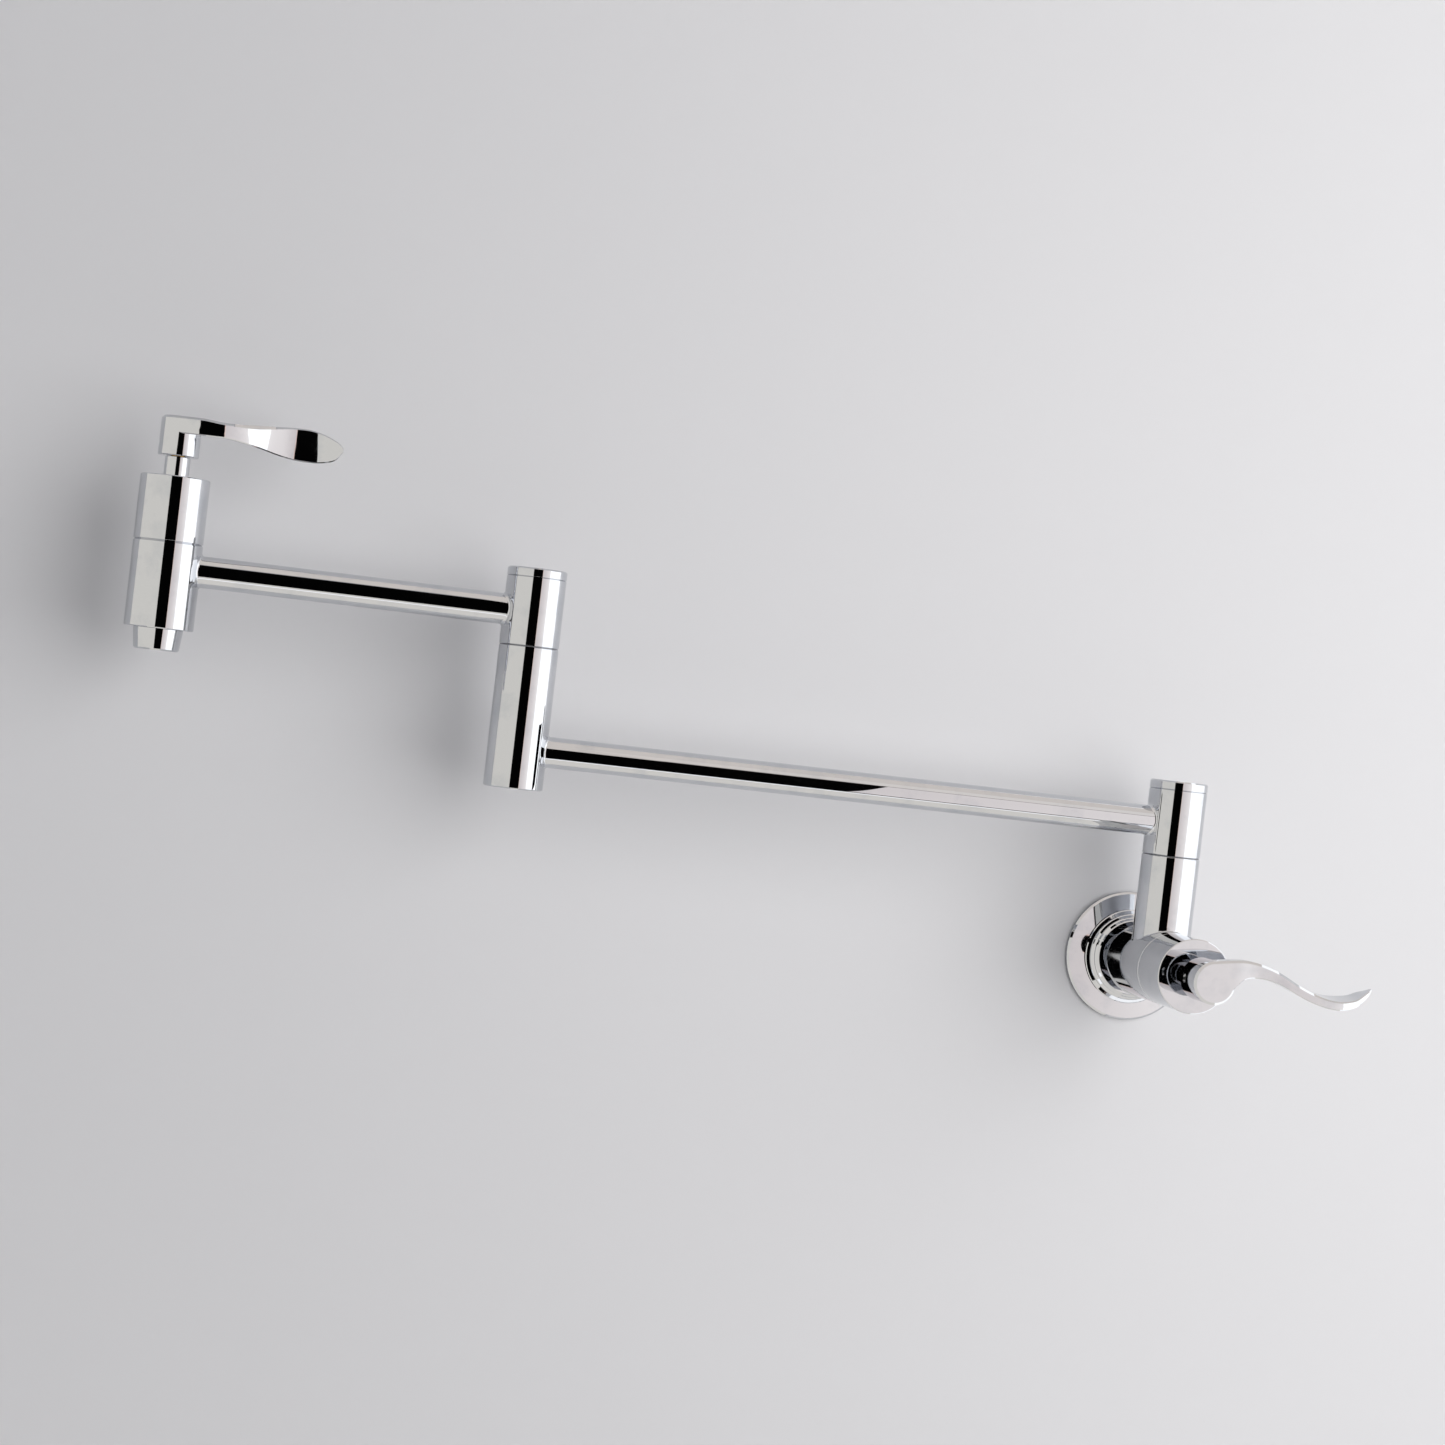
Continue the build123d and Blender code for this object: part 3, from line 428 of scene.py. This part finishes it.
# a card's colour runs from its first hex to its last along x, or along y at the sides
cards = {
    "leftSoftbox": {
        "x": (studio["left"], gap["left"]), "y": front, "z": tall,
        "colors": (warmWhite, warmWhite), "strength": 1.0,
    },
    "leftSide": {
        "x": (studio["left"], studio["left"]), "y": deep, "z": tall,
        "colors": (warmWhite, warmWhite), "strength": 1.0,
    },
    "leftWall": {
        "x": (studio["left"], studio["leftWallEnd"]), "y": beside, "z": tall,
        "colors": (warmWhite, warmWhite), "strength": 1.0, "oneSided": True,
    },
    "darkLeft": {
        "x": gapLeft, "y": front, "z": (gap["leftFoot"], gap["leftTop"]),
        "colors": (blackFelt, blackFelt), "strength": 1.0,
    },
    "darkRight": {
        "x": gapRight, "y": front, "z": (gap["rightFoot"], gap["rightTop"]),
        "colors": (blackFelt, blackFelt), "strength": 1.0,
    },
    # a small black flag close to the long tube, seen only in reflections, which paints the gap's
    # dark band further along the tube as a painted reflection and ends it in a point; cut is how
    # much shorter its foot is than its top
    "tubeFlag": {
        "x": (-0.34, -0.1745), "y": (-0.09, -0.09), "z": (0.062, 0.101), "cut": 0.025,
        "colors": (blackFelt, blackFelt), "strength": 1.0,
    },
    "underGap": {
        "x": gapLeft, "y": front, "z": (studio["low"], gap["leftFoot"]),
        "colors": (creamWhite, creamWhite), "strength": 1.0,
    },
    "overGap": {
        "x": gapRight, "y": front, "z": (gap["rightTop"], studio["high"]),
        "colors": (ceilingWhite, ceilingWhite), "strength": 1.0,
    },
    "warmEdge": {
        "x": (gap["right"], warmEnd), "y": front, "z": lit,
        "colors": ("#F0CFC2", "#FBE9E0"), "strength": 1.25,
    },
    "rightSoftbox": {
        "x": (warmEnd, studio["brightStart"]), "y": front, "z": lit,
        "colors": ("#D8CFCD", "#FDF7F4"), "strength": 1.38,
    },
    "trimFoot": {
        "x": rightBox, "y": front, "z": trimFoot,
        "colors": ("#6E625D", "#8E827C"), "strength": 1.0,
    },
    "trimTop": {
        "x": rightBox, "y": front, "z": trimTop,
        "colors": ("#A39B98", "#B4ACA8"), "strength": 1.0,
    },
    "rightUpper": {
        "x": rightBox, "y": front, "z": (trimTop[1], studio["high"]),
        "colors": (ceilingWhite, "#FBF6F2"), "strength": 1.1,
    },
    "brightSoftbox": {
        "x": (studio["brightStart"], studio["right"]), "y": front, "z": tall,
        "colors": (pureWhite, pureWhite), "strength": 1.9,
    },
    "rightSide": {
        "x": (studio["right"], studio["right"]), "y": deep, "z": tall,
        "colors": (pureWhite, pureWhite), "strength": 1.9,
    },
    "rightWall": {
        "x": (studio["rightWallStart"], studio["right"]), "y": beside, "z": tall,
        "colors": (pureWhite, pureWhite), "strength": 1.7, "oneSided": True,
    },
    "ceiling": {
        "x": wide, "y": deep, "z": (studio["high"], studio["high"]),
        "colors": (ceilingWhite, ceilingWhite), "strength": 1.0,
    },
    "counter": {
        "x": wide, "y": (studio["counterEdge"], studio["back"]), "z": onCounter,
        "colors": (creamWhite, creamWhite), "strength": 1.0,
    },
    "counterEdge": {
        "x": wide, "y": (studio["front"], studio["counterEdge"]), "z": onCounter,
        "colors": (pureWhite, pureWhite), "strength": 1.5,
    },
}


def cardCorners(card):
    # a level card spans x and y; an upright one runs from the first x and y to the last
    (x0, x1), (y0, y1), (z0, z1) = card["x"], card["y"], card["z"]
    if z0 == z1:
        return [(x0, y0, z0), (x1, y0, z0), (x1, y1, z0), (x0, y1, z0)]
    return [(x0, y0, z0), (x1 - card.get("cut", 0), y1, z0), (x1, y1, z1), (x0, y0, z1)]


def makeGlow(name, card):
    material, tree = newTree(name)
    place = addNode(tree, "ShaderNodeTexCoord")
    across = addNode(tree, "ShaderNodeSeparateXYZ", links={"Vector": place.outputs["UV"]})
    first, last = card["colors"]
    blend = addNode(tree, "ShaderNodeMix", {"data_type": "RGBA"}, {
        6: linearColor(first),
        7: linearColor(last),
    }, {0: across.outputs["X"]})
    glow = addNode(tree, "ShaderNodeEmission", values={"Strength": card["strength"]}, links={
        "Color": blend.outputs[2],
    })
    surface = glow.outputs["Emission"]
    if card.get("oneSided"):
        surface = clearBehind(tree, surface)
    addNode(tree, "ShaderNodeOutputMaterial", links={"Surface": surface})
    return material


for cardName, card in cards.items():
    sheet = addSheet(cardName, cardCorners(card), makeGlow(cardName, card))
    uv = sheet.data.uv_layers.new(name="across")
    for corner, place in zip(uv.data, ((0, 0), (1, 0), (1, 1), (0, 1))):
        corner.uv = place
    sheet.visible_camera = False
    sheet.visible_diffuse = False
    sheet.visible_shadow = False
print("cards:", len(cards))

# one large soft lamp from the upper right, and a pale room round everything
keyLamp = {
    "place": (1.0, -1.7, 0.5),
    "aim": (-0.1, 0.0, 0.1),
    "size": 2.4,
    "power": 41.0,
    "color": "#FFFEFC",
}
roomLight = {
    "upper": "#F4F4F8",
    "lower": "#FCFCFD",
    "blend": (-0.4, 0.6),  # the direction's z where the lower colour ends and the upper is full
    "strength": 0.31,
}

lampData = bpy.data.lights.new("keyLamp", "AREA")
lampData.shape = "DISK"
lampData.size = keyLamp["size"]
lampData.energy = keyLamp["power"]
lampData.color = linearColor(keyLamp["color"])[:3]
lamp = bpy.data.objects.new("keyLamp", lampData)
lamp.location = keyLamp["place"]
toAim = [a - p for a, p in zip(keyLamp["aim"], keyLamp["place"])]
tilt = math.atan2(math.hypot(toAim[0], toAim[1]), -toAim[2])
heading = math.atan2(toAim[1], toAim[0]) - math.pi / 2
lamp.rotation_euler = (tilt, 0, heading)
lamp.visible_glossy = False  # the cards are what the chrome shows
bpy.context.scene.collection.objects.link(lamp)

world = bpy.data.worlds.new("paleRoom")
world.use_nodes = True
room = world.node_tree
room.nodes.clear()
direction = addNode(room, "ShaderNodeTexCoord")
height = addNode(room, "ShaderNodeSeparateXYZ", links={
    "Vector": direction.outputs["Generated"],
})
rise = addNode(room, "ShaderNodeMapRange", values={
    "From Min": roomLight["blend"][0],
    "From Max": roomLight["blend"][1],
}, links={"Value": height.outputs["Z"]})
roomColor = addNode(room, "ShaderNodeMix", {"data_type": "RGBA"}, {
    6: linearColor(roomLight["lower"]),
    7: linearColor(roomLight["upper"]),
}, {0: rise.outputs["Result"]})
sky = addNode(room, "ShaderNodeBackground", values={"Strength": roomLight["strength"]}, links={
    "Color": roomColor.outputs[2],
})
addNode(room, "ShaderNodeOutputWorld", links={"Surface": sky.outputs["Background"]})
bpy.context.scene.world = world

bpy.context.scene.view_settings.view_transform = "Standard"
print("stage ready")
